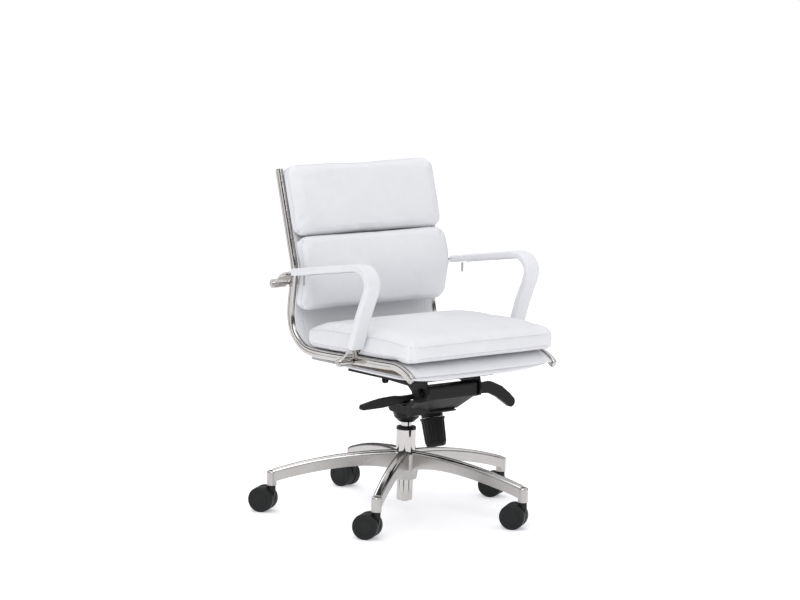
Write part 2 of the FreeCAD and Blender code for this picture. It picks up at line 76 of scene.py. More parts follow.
RIB_LINE = ((241, 854), (217.3, 774), (193.6, 694), (180, 648), (172.5, 618), (173, 592), (176, 568),
            (179.5, 539), (182, 506), (179, 481), (169, 456), (147, 434), (131, 424), (113, 418),
            (80, 414.5), (20, 415), (-46, 417), (-100, 419), (-156, 420.5), (-200, 422),
            (-230, 421.5), (-252, 415.5), (-282, 398))
ARM_LINE = ((196, 577), (184, 586), (168, 601), (150, 609), (121, 614), (70, 623), (15, 632),
            (-45, 641.5), (-100, 650), (-128, 650), (-150, 638), (-160.5, 616), (-156, 594),
            (-143, 564), (-125, 518), (-98, 447), (-85, 431), (-71, 421))


class Side(Enum):
    """The chair's two sides; the value is the sign of X."""

    LEFT = -1
    RIGHT = 1

    @property
    def label(self) -> str:
        """The side's name in lower case."""
        return self.name.lower()


class Finish(Enum):
    """Every finish on the chair."""

    LEATHER = "white_leather_grain"
    LEATHER_EDGE = "white_leather_edge"
    THREAD = "white_thread"
    CHROME = "bright_chrome"
    ALUMINIUM = "polished_cast_aluminium"
    ZINC = "zinc_plated_steel"
    BLACK_STEEL = "black_powder_coat"
    BLACK_PLASTIC = "black_moulded_plastic"
    CASTOR = "castor_nylon"
    PLYWOOD = "birch_plywood"
    FLOOR = "studio_floor"


# ---- shader helpers ----
Tree = bpy.types.NodeTree
Node = bpy.types.Node
Socket = bpy.types.NodeSocket
Material = bpy.types.Material
Piece = bpy.types.Object
Triple = tuple[float, float, float]
Span = tuple[float, float]

SHADER_TREE = "ShaderNodeTree"
GEOMETRY_TREE = "GeometryNodeTree"
NOISE = "ShaderNodeTexNoise"
MATHS = "ShaderNodeMath"
RESCALE = "ShaderNodeMapRange"


def feed(tree: Tree, into: Socket, value: object) -> None:
    """Join an input to another node's output, or give it a value."""
    if isinstance(value, Socket):
        tree.links.new(value, into)
    else:
        into.default_value = value


def fill_in(tree: Tree, node: Node, **values: object) -> None:
    """Set a node's properties, or feed its inputs, whose names have underscores for spaces."""
    for key, value in values.items():
        if hasattr(node, key):
            setattr(node, key, value)
        else:
            feed(tree, node.inputs[key.replace("_", " ")], value)


def add_node(tree: Tree, kind: str, *first: object, **values: object) -> Node:
    """Add a node, set its properties and feed its inputs.

    Args:
        tree: The tree the node goes in.
        kind: The node's type name.
        first: Values or sockets for the first inputs, in order.
        values: Properties or inputs by name, as in fill_in.

    Returns:
        The new node.
    """
    node = tree.nodes.new(kind)
    fill_in(tree, node, **values)
    for index, value in enumerate(first):
        feed(tree, node.inputs[index], value)
    return node


def mix(tree: Tree, kind: str, amount: object, low: object, high: object) -> Socket:
    """Mix two numbers (FLOAT) or two colours (RGBA) and return the result."""
    node = add_node(tree, "ShaderNodeMix", amount, data_type=kind)
    first, out = (2, 0) if kind == "FLOAT" else (6, 2)
    feed(tree, node.inputs[first], low)
    feed(tree, node.inputs[first + 1], high)
    return node.outputs[out]


def new_tree(name: str, kind: str, inputs: dict[str, object], outputs: dict[str, str]) -> tuple:
    """Start a node tree with named sockets.

    Args:
        name: The tree's name.
        kind: The tree's type.
        inputs: For each input its default number, or its socket type where it has no default.
        outputs: For each output its socket type.

    Returns:
        The tree, the sockets that give its inputs and the sockets that take its outputs.
    """
    tree = bpy.data.node_groups.new(name, kind)
    for key, value in inputs.items():
        if isinstance(value, str):
            tree.interface.new_socket(key, in_out="INPUT", socket_type=f"NodeSocket{value}")
        else:
            socket = tree.interface.new_socket(key, in_out="INPUT", socket_type="NodeSocketFloat")
            socket.default_value = value
    for key, value in outputs.items():
        tree.interface.new_socket(key, in_out="OUTPUT", socket_type=f"NodeSocket{value}")
    return tree, tree.nodes.new("NodeGroupInput").outputs, tree.nodes.new("NodeGroupOutput").inputs


class SharedEffects:
    """Shader groups that several finishes use, each built once."""

    def __init__(self) -> None:
        """Build every group."""
        self.grain = self.build_grain()
        self.blotch = self.build_blotch()
        self.streak = self.build_streak()

    @staticmethod
    def build_grain() -> Tree:
        """Leather or mould grain: pebbled cells broken up by fine noise, as a height."""
        inputs = {"Place": "Vector", "Cells": 900.0, "Fine": 2600.0, "Mix": 0.35}
        group, given, result = new_tree("pebble_grain", SHADER_TREE, inputs, {"Height": "Float"})
        place = given["Place"]
        warp = add_node(group, NOISE, Detail=2.0, Vector=place, Scale=given["Cells"])
        cells = add_node(group, "ShaderNodeTexVoronoi", feature="F1", Randomness=1.0, Vector=place,
                         Scale=given["Cells"])
        fine = add_node(group, NOISE, Detail=3.0, Vector=place, Scale=given["Fine"])
        both = add_node(group, MATHS, cells.outputs["Distance"], warp.outputs["Fac"], operation="MULTIPLY")
        height = mix(group, "FLOAT", given["Mix"], both.outputs[0], fine.outputs["Fac"])
        feed(group, result["Height"], height)
        return group

    @staticmethod
    def build_blotch() -> Tree:
        """Slow variation in colour and gloss, from handling and from the hide or casting."""
        inputs = {"Place": "Vector", "Size": 9.0, "Spots": 60.0, "Low": 0.0, "High": 1.0}
        outputs = {"Mask": "Float", "Level": "Float"}
        group, given, result = new_tree("slow_variation", SHADER_TREE, inputs, outputs)
        place = given["Place"]
        wide = add_node(group, NOISE, Detail=4.0, Roughness=0.6, Vector=place, Scale=given["Size"])
        small = add_node(group, NOISE, Detail=5.0, Roughness=0.7, Vector=place, Scale=given["Spots"])
        both = mix(group, "FLOAT", 0.35, wide.outputs["Fac"], small.outputs["Fac"])
        for key, span in (("Mask", {}), ("Level", {"To_Min": given["Low"], "To_Max": given["High"]})):
            scaled = add_node(group, RESCALE, Value=both, From_Min=0.35, From_Max=0.65, **span)
            feed(group, result[key], scaled.outputs["Result"])
        return group

    @staticmethod
    def build_streak() -> Tree:
        """Fine polishing lines and wipe marks, as a height."""
        inputs = {"Place": "Vector", "Along": 40.0, "Across": 1800.0}
        group, given, result = new_tree("polish_lines", SHADER_TREE, inputs, {"Height": "Float"})
        stretch = add_node(group, "ShaderNodeCombineXYZ", given["Across"], given["Along"], given["Across"])
        scaled = add_node(group, "ShaderNodeVectorMath", given["Place"], stretch.outputs[0],
                          operation="MULTIPLY")
        lines = add_node(group, NOISE, Scale=1.0, Detail=2.0, Vector=scaled.outputs[0])
        feed(group, result["Height"], lines.outputs["Fac"])
        return group


def use_group(tree: Tree, group: Tree, place: Socket, **values: float) -> Node:
    """Put a shared group in a material with its own values."""
    return add_node(tree, "ShaderNodeGroup", node_tree=group, Place=place, **values)


def add_bump(tree: Tree, height: Socket, strength: float, distance: float,
             before: Socket | None = None) -> Socket:
    """Turn a height into a normal, on top of an earlier one."""
    bump = add_node(tree, "ShaderNodeBump", Strength=strength, Distance=distance, Height=height)
    if before is not None:
        feed(tree, bump.inputs["Normal"], before)
    return bump.outputs["Normal"]


# ---- finishes ----
@dataclass(frozen=True)
class Recipe:
    """What every finish has: two close colours, a range of roughness and the patches they come in."""

    finish: Finish
    low: Triple
    high: Triple
    rough: Span

    def start(self, shared: SharedEffects, size: float, spots: float) -> tuple[Material, Tree, Node, Socket]:
        """Start the material, with its colour and its roughness in slow patches.

        Args:
            shared: The groups that the finishes share.
            size: How often the wide patches come in a metre.
            spots: How often the small ones do.

        Returns:
            The material, its tree, its shader and the Object coordinates.
        """
        material = bpy.data.materials.new(self.finish.value)
        material.use_nodes = True
        tree = material.node_tree
        shader = tree.nodes["Principled BSDF"]
        place = add_node(tree, "ShaderNodeTexCoord").outputs["Object"]
        tone = use_group(tree, shared.blotch, place, Size=size, Spots=spots, Low=self.rough[0],
                         High=self.rough[1])
        colour = mix(tree, "RGBA", tone.outputs["Mask"], (*self.low, 1.0), (*self.high, 1.0))
        fill_in(tree, shader, Base_Color=colour, Roughness=tone.outputs["Level"])
        return material, tree, shader, place


@dataclass(frozen=True)
class Leather(Recipe):
    """Semi-matt corrected-grain leather."""

    low: Triple = (0.70, 0.705, 0.725)
    high: Triple = (0.745, 0.75, 0.768)
    rough: Span = (0.42, 0.58)
    cells: float = 950.0

    def make(self, shared: SharedEffects) -> Material:
        """Build the material: pebble grain, soft creases and slow changes of tone."""
        material, tree, shader, place = self.start(shared, 7.0, 48.0)
        creases = add_node(tree, NOISE, Scale=26.0, Detail=5.0, Roughness=0.55, Distortion=0.6, Vector=place)
        soft = add_bump(tree, creases.outputs["Fac"], 0.16, 0.004)
        grain = use_group(tree, shared.grain, place, Cells=self.cells, Fine=3200.0, Mix=0.3)
        fill_in(tree, shader, Normal=add_bump(tree, grain.outputs["Height"], 0.4, 0.0004, soft),
                Specular_IOR_Level=0.42, Sheen_Weight=0.06, Sheen_Roughness=0.5)
        return material


@dataclass(frozen=True)
class Metal(Recipe):
    """A bright or satin metal with polishing lines and wipe marks."""

    lines: float = 0.05
    pits: float = 0.0
    satin_sides: bool = False

    def make(self, shared: SharedEffects) -> Material:
        """Build the material."""
        material, tree, shader, place = self.start(shared, 16.0, 140.0)
        if self.satin_sides:
            self.brush_sides(tree, shader.inputs["Roughness"])
        streak = use_group(tree, shared.streak, place, Along=60.0, Across=1500.0)
        normal = add_bump(tree, streak.outputs["Height"], self.lines, 0.0002)
        if self.pits:
            grain = use_group(tree, shared.grain, place, Cells=420.0, Fine=1500.0, Mix=0.5)
            normal = add_bump(tree, grain.outputs["Height"], self.pits, 0.0006, normal)
        fill_in(tree, shader, Normal=normal, Metallic=1.0)
        return material

    @staticmethod
    def brush_sides(tree: Tree, rough: Socket) -> None:
        """Make the upright sides rougher than the top, which is polished."""
        normals = add_node(tree, "ShaderNodeTexCoord")
        facing = add_node(tree, "ShaderNodeSeparateXYZ", normals.outputs["Normal"])
        level = add_node(tree, MATHS, facing.outputs["Z"], operation="ABSOLUTE")
        brushed = add_node(tree, RESCALE, Value=level.outputs[0], From_Min=0.35, From_Max=0.75, To_Min=0.2,
                           To_Max=0.0)
        polished = rough.links[0].from_socket
        total = add_node(tree, MATHS, polished, brushed.outputs["Result"], operation="ADD")
        feed(tree, rough, total.outputs[0])


@dataclass(frozen=True)
class Moulding(Recipe):
    """Moulded plastic or powder coat with a fine eggshell surface."""

    cells: float = 1600.0
    strength: float = 0.22
    gloss: float = 0.45

    def make(self, shared: SharedEffects) -> Material:
        """Build the material."""
        material, tree, shader, place = self.start(shared, 22.0, 260.0)
        grain = use_group(tree, shared.grain, place, Cells=self.cells, Fine=4200.0, Mix=0.55)
        fill_in(tree, shader, Normal=add_bump(tree, grain.outputs["Height"], self.strength, 0.0003),
                Specular_IOR_Level=self.gloss)
        return material


@dataclass(frozen=True)
class Plywood(Recipe):
    """Birch plywood: long figure on the faces and plies at the edge."""

    finish: Finish = Finish.PLYWOOD
    low: Triple = (0.42, 0.27, 0.14)
    high: Triple = (0.66, 0.49, 0.3)
    rough: Span = (0.68, 0.68)

    def make(self, shared: SharedEffects) -> Material:
        """Build the material."""
        material, tree, shader, place = self.start(shared, 9.0, 60.0)
        plies = add_node(tree, "ShaderNodeTexWave", bands_direction="Z", Scale=140.0, Distortion=0.6,
                         Detail=2.0, Vector=place)
        colour = mix(tree, "RGBA", plies.outputs["Fac"], (*self.low, 1.0), (*self.high, 1.0))
        streak = use_group(tree, shared.streak, place, Along=12.0, Across=500.0)
        fill_in(tree, shader, Base_Color=colour,
                Normal=add_bump(tree, streak.outputs["Height"], 0.3, 0.0006))
        return material


@dataclass(frozen=True)
class StudioFloor(Recipe):
    """A pale seamless floor."""

    finish: Finish = Finish.FLOOR
    low: Triple = (0.87, 0.87, 0.87)
    high: Triple = (0.885, 0.885, 0.885)
    rough: Span = (0.78, 0.84)
    glow: float = 0.33

    def make(self, shared: SharedEffects) -> Material:
        """Build the material."""
        material, tree, shader, _ = self.start(shared, 0.7, 9.0)
        fill_in(tree, shader, Specular_IOR_Level=0.15, Emission_Color=(0.96, 0.96, 1.0, 1.0),
                Emission_Strength=self.glow)
        return material


class Finishes:
    """The chair's materials, made once and looked up by finish."""

    def __init__(self) -> None:
        """Build every material."""
        shared = SharedEffects()
        pale, paler = (0.62, 0.62, 0.64), (0.70, 0.70, 0.72)
        jet, black = (0.005, 0.0045, 0.005), (0.009, 0.008, 0.009)
        recipes = (
            Leather(Finish.LEATHER),
            Leather(Finish.LEATHER_EDGE, low=(0.60, 0.60, 0.62), high=(0.67, 0.67, 0.69), cells=1300.0),
            Moulding(Finish.THREAD, pale, paler, (0.5, 0.62), 5200.0, 0.3, 0.3),
            Metal(Finish.CHROME, (0.50, 0.485, 0.47), (0.58, 0.565, 0.55), (0.07, 0.14), 0.03),
            Metal(Finish.ALUMINIUM, (0.46, 0.445, 0.43), (0.54, 0.525, 0.51), (0.07, 0.16), 0.05, 0.03, True),
            Metal(Finish.ZINC, (0.40, 0.40, 0.40), (0.5, 0.5, 0.49), (0.28, 0.42), 0.12),
            Moulding(Finish.BLACK_STEEL, jet, black, (0.26, 0.42), 900.0, 0.25, 0.22),
            Moulding(Finish.BLACK_PLASTIC, jet, black, (0.3, 0.46), 1600.0, 0.22, 0.22),
            Moulding(Finish.CASTOR, (0.009, 0.010, 0.010), (0.015, 0.016, 0.016), (0.44, 0.6), 1900.0, 0.2,
                     0.25),
            Plywood(),
            StudioFloor(),
        )
        self.made = {recipe.finish: recipe.make(shared) for recipe in recipes}

    def get(self, finish: Finish) -> Material:
        """The material of a finish."""
        return self.made[finish]


# ---- mesh helpers ----
def add_object(name: str, data: bpy.types.ID) -> Piece:
    """Make an object for some data and put it in the scene."""
    piece = bpy.data.objects.new(name, data)
    bpy.context.scene.collection.objects.link(piece)
    return piece


def new_object(name: str, verts: np.ndarray, faces: Sequence[Sequence[int]],
               edges: Sequence[Sequence[int]] = ()) -> Piece:
    """A linked mesh object at the origin."""
    mesh = bpy.data.meshes.new(name)
    mesh.from_pydata(np.asarray(verts, dtype=float).tolist(), list(edges), list(faces))
    mesh.update()
    return add_object(name, mesh)


def shade_smooth(piece: Piece) -> None:
    """Shade every face of a piece smooth."""
    piece.data.polygons.foreach_set("use_smooth", [True] * len(piece.data.polygons))


def tidy_normals(piece: Piece, merge: float = 1e-6) -> None:
    """Merge doubles, point the faces outwards and shade them smooth."""
    form = bmesh.new()
    form.from_mesh(piece.data)
    bmesh.ops.remove_doubles(form, verts=form.verts, dist=merge)
    bmesh.ops.recalc_face_normals(form, faces=form.faces)
    form.to_mesh(piece.data)
    form.free()
    shade_smooth(piece)


def bake_modifiers(piece: Piece) -> None:
    """Replace the mesh by its evaluated form and drop the modifiers."""
    graph = bpy.context.evaluated_depsgraph_get()
    mesh = bpy.data.meshes.new_from_object(piece.evaluated_get(graph), depsgraph=graph)
    old = piece.data
    piece.modifiers.clear()
    piece.data = mesh
    bpy.data.meshes.remove(old)


def subdivide(piece: Piece, levels: int = 1) -> None:
    """Smooth a piece by subdivision and keep the result."""
    modifier = piece.modifiers.new("subdivide", "SUBSURF")
    modifier.levels = levels
    modifier.render_levels = levels
    bake_modifiers(piece)
    shade_smooth(piece)


def points_of(mesh: bpy.types.Mesh) -> np.ndarray:
    """A mesh's points as an array."""
    flat = np.empty(len(mesh.vertices) * 3)
    mesh.vertices.foreach_get("co", flat)
    return flat.reshape(-1, 3)


def normals_of(mesh: bpy.types.Mesh) -> np.ndarray:
    """A mesh's point normals as an array."""
    flat = np.empty(len(mesh.vertices) * 3)
    mesh.vertices.foreach_get("normal", flat)
    return flat.reshape(-1, 3)


def set_points(mesh: bpy.types.Mesh, points: np.ndarray) -> None:
    """Write an array of points to a mesh."""
    mesh.vertices.foreach_set("co", points.ravel())
    mesh.update()


def spline(points: Sequence[Sequence[float]], count: int) -> tuple[np.ndarray, np.ndarray]:
    """A natural cubic curve through points in the YZ plane.

    Args:
        points: The (y, z) points in millimetres.
        count: How many even steps to return.

    Returns:
        Positions in metres and the unit normals on the sitter's side, as (y, z) rows.
    """
    knots = np.array(points, dtype=float)
    t = np.r_[0, np.cumsum(np.linalg.norm(np.diff(knots, axis=0), axis=1))]
    h = np.diff(t)
    size = len(t)
    system = np.eye(size)
    right = np.zeros((size, 2))
    for i in range(1, size - 1):
        system[i, i - 1:i + 2] = (h[i - 1], 2 * (h[i - 1] + h[i]), h[i])
        right[i] = 6 * ((knots[i + 1] - knots[i]) / h[i] - (knots[i] - knots[i - 1]) / h[i - 1])
    bend = np.linalg.solve(system, right)
    steps = np.linspace(0, t[-1], count)
    at = np.clip(np.searchsorted(t, steps, side="right") - 1, 0, size - 2)
    a, b = (t[at + 1] - steps)[:, None], (steps - t[at])[:, None]
    hh = h[at][:, None]
    place = (bend[at] * a ** 3 + bend[at + 1] * b ** 3) / (6 * hh)
    place += (knots[at] / hh - bend[at] * hh / 6) * a + (knots[at + 1] / hh - bend[at + 1] * hh / 6) * b
    way = np.gradient(place, axis=0)
    way /= np.linalg.norm(way, axis=1)[:, None]
    return place * MM, np.c_[way[:, 1], -way[:, 0]]


def slab(name: str, top: np.ndarray, bottom: np.ndarray) -> Piece:
    """A closed form between two grids of points with the same layout."""
    rows, columns = top.shape[:2]
    verts = np.concatenate([top.reshape(-1, 3), bottom.reshape(-1, 3)])
    half = rows * columns
    faces = []
    for i in range(rows - 1):
        for j in range(columns - 1):
            a = i * columns + j
            quad = (a, a + 1, a + columns + 1, a + columns)
            faces.append(quad)
            faces.append(tuple(half + k for k in reversed(quad)))
    rim = [*range(columns), *(i * columns + columns - 1 for i in range(1, rows))]
    rim += [(rows - 1) * columns + j for j in range(columns - 2, -1, -1)]
    rim += [i * columns for i in range(rows - 2, 0, -1)]
    for a, b in zip(rim, rim[1:] + rim[:1]):
        faces.append((b, a, a + half, b + half))
    piece = new_object(name, verts, faces)
    tidy_normals(piece)
    return piece


def tube(name: str, centres: np.ndarray, sides: np.ndarray, ups: np.ndarray, section: np.ndarray,
         closed: bool = False) -> Piece:
    """Sweep a section along a path.

    Args:
        name: The piece's name.
        centres: The path's points.
        sides: For each point, the direction of the section's first axis.
        ups: For each point, the direction of its second axis.
        section: The section's outline as (first, second) rows; one outline, or one for each point.
        closed: Whether the path is a loop.

    Returns:
        A closed mesh.
    """
    count = len(centres)
    outline = np.broadcast_to(section, (count,) + section.shape[-2:])
    verts = centres[:, None] + outline[..., :1] * sides[:, None] + outline[..., 1:] * ups[:, None]
    ring = verts.shape[1]
    faces = []
    for i in range(count if closed else count - 1):
        j = (i + 1) % count
        for k in range(ring):
            m = (k + 1) % ring
            faces.append((i * ring + k, i * ring + m, j * ring + m, j * ring + k))
    if not closed:
        faces.append(tuple(range(ring)))
        faces.append(tuple(range((count - 1) * ring, count * ring)))
    piece = new_object(name, verts.reshape(-1, 3), faces)
    tidy_normals(piece)
    return piece


def circle(count: int) -> np.ndarray:
    """Points round a unit circle."""
    angles = np.linspace(0, 2 * math.pi, count, endpoint=False)
    return np.c_[np.cos(angles), np.sin(angles)]


def thin_cord(name: str, path: np.ndarray, radius: float, closed: bool = False) -> Piece:
    """A round cord along a path of points."""
    way = np.roll(path, -1, 0) - np.roll(path, 1, 0) if closed else np.gradient(path, axis=0)
    way /= np.linalg.norm(way, axis=1)[:, None]
    helper = np.where(np.abs(way[:, :1]) < 0.8, [[1.0, 0, 0]], [[0, 0, 1.0]])
    side = np.cross(way, helper)
    side /= np.linalg.norm(side, axis=1)[:, None]
    up = np.cross(way, side)
    return tube(name, path, side, up, radius * circle(8), closed)


def lathe(name: str, profile: Sequence[tuple[float, float]], segments: int = 32) -> Piece:
    """Turn an (r, z) profile about Z; the profile starts and ends on the axis."""
    angles = np.linspace(0, 2 * math.pi, segments, endpoint=False)
    verts = [(0.0, 0.0, profile[0][1])]
    for r, z in profile[1:-1]:
        verts += [(r * math.cos(a), r * math.sin(a), z) for a in angles]
    verts.append((0.0, 0.0, profile[-1][1]))
    faces = []
    for k in range(segments):
        m = (k + 1) % segments
        faces.append((0, 1 + m, 1 + k))
        for row in range(len(profile) - 3):
            a = 1 + row * segments
            faces.append((a + k, a + m, a + segments + m, a + segments + k))
        last = 1 + (len(profile) - 3) * segments
        faces.append((last + k, last + m, len(verts) - 1))
    piece = new_object(name, np.array(verts), faces)
    tidy_normals(piece, 1e-7)
    return piece


def dress(piece: Piece, material: Material, body: str = "seat") -> None:
    """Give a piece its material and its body."""
    piece.data.materials.clear()
    piece.data.materials.append(material)
    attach(piece, body)
    LOG.info("%s: %d faces on %s", piece.name, len(piece.data.polygons), body)


# ---- geometry node trees ----
class RowTree:
    """Beads set along a line: stitches or zip teeth."""

    SIZES = ("Pitch", "Long", "Wide", "High")

    def __init__(self) -> None:
        """Build the tree."""
        inputs = {"Geometry": "Geometry", **dict.fromkeys(self.SIZES, 0.001), "Material": "Material"}
        tree, given, result = new_tree("bead_row", GEOMETRY_TREE, inputs, {"Geometry": "Geometry"})
        curve = add_node(tree, "GeometryNodeMeshToCurve", Mesh=given["Geometry"])
        steps = add_node(tree, "GeometryNodeResampleCurve", mode="LENGTH", Curve=curve.outputs["Curve"],
                         Length=given["Pitch"])
        bead = add_node(tree, "GeometryNodeMeshUVSphere", Segments=8, Rings=5, Radius=0.5)
        size = add_node(tree, "ShaderNodeCombineXYZ", given["Long"], given["Wide"], given["High"])
        shaped = add_node(tree, "GeometryNodeTransform", Geometry=bead.outputs["Mesh"], Scale=size.outputs[0])
        tangent = add_node(tree, "GeometryNodeInputTangent")
        turn = add_node(tree, "FunctionNodeAlignRotationToVector", axis="X", Vector=tangent.outputs[0])
        place = add_node(tree, "GeometryNodeInstanceOnPoints", Points=steps.outputs["Curve"],
                         Instance=shaped.outputs[0], Rotation=turn.outputs[0])
        real = add_node(tree, "GeometryNodeRealizeInstances", place.outputs[0])
        smooth = add_node(tree, "GeometryNodeSetShadeSmooth", real.outputs[0])
        coat = add_node(tree, "GeometryNodeSetMaterial", Geometry=smooth.outputs[0], Material=given["Material"])
        feed(tree, result[0], coat.outputs[0])
        self.tree = tree

    def lay(self, name: str, path: np.ndarray, material: Material, sizes: Sequence[float],
            closed: bool = False) -> None:
        """Set beads along a path, as one mesh on the seat.

        Args:
            name: The piece's name.
            path: The line's points.
            material: The beads' material.
            sizes: The beads' pitch, length, width and height, in metres.
            closed: Whether the line is a loop.
        """
        count = len(path)
        edges = [(i, (i + 1) % count) for i in range(count if closed else count - 1)]
        line = new_object(name, path, (), edges)
        run_tree(line, self.tree, {"Material": material, **dict(zip(self.SIZES, sizes))})
        dress(line, material, "seat")


class HeadTree:
    """One fastener head repeated on points that carry the way they face."""

    def __init__(self) -> None:
        """Build the tree."""
        inputs = {"Geometry": "Geometry", "Head": "Object", "Size": 1.0, "Material": "Material"}
        tree, given, result = new_tree("fastener_heads", GEOMETRY_TREE, inputs, {"Geometry": "Geometry"})
        points = add_node(tree, "GeometryNodeMeshToPoints", Mesh=given["Geometry"])
        head = add_node(tree, "GeometryNodeObjectInfo", Object=given["Head"])
        facing = add_node(tree, "GeometryNodeInputNamedAttribute", data_type="FLOAT_VECTOR", Name="facing")
        turn = add_node(tree, "FunctionNodeAlignRotationToVector", axis="Z", Vector=facing.outputs[0])
        place = add_node(tree, "GeometryNodeInstanceOnPoints", Points=points.outputs[0],
                         Instance=head.outputs["Geometry"], Rotation=turn.outputs[0], Scale=given["Size"])
        real = add_node(tree, "GeometryNodeRealizeInstances", place.outputs[0])
        coat = add_node(tree, "GeometryNodeSetMaterial", Geometry=real.outputs[0], Material=given["Material"])
        feed(tree, result[0], coat.outputs[0])
        self.tree = tree

    def set_on(self, name: str, spots: Sequence[tuple[Vector, Vector]], head: Piece,
               material: Material, size: float = 1.0) -> Piece:
        """Repeat a head on each (place, facing) pair and return one mesh."""
        cloud = new_object(name, np.array([place for place, _ in spots]), ())
        facing = cloud.data.attributes.new("facing", "FLOAT_VECTOR", "POINT")
        facing.data.foreach_set("vector", np.array([way for _, way in spots], dtype=float).ravel())
        run_tree(cloud, self.tree, {"Head": head, "Size": size, "Material": material})
        return cloud


def run_tree(piece: Piece, tree: Tree, values: dict[str, object]) -> None:
    """Run a geometry node tree on a piece and keep the plain mesh."""
    modifier = piece.modifiers.new(tree.name, "NODES")
    modifier.node_group = tree
    for item in tree.interface.items_tree:
        if item.in_out == "INPUT" and item.name in values:
            modifier[item.identifier] = values[item.name]
    piece.update_tag()
    bpy.context.view_layer.update()
    bake_modifiers(piece)


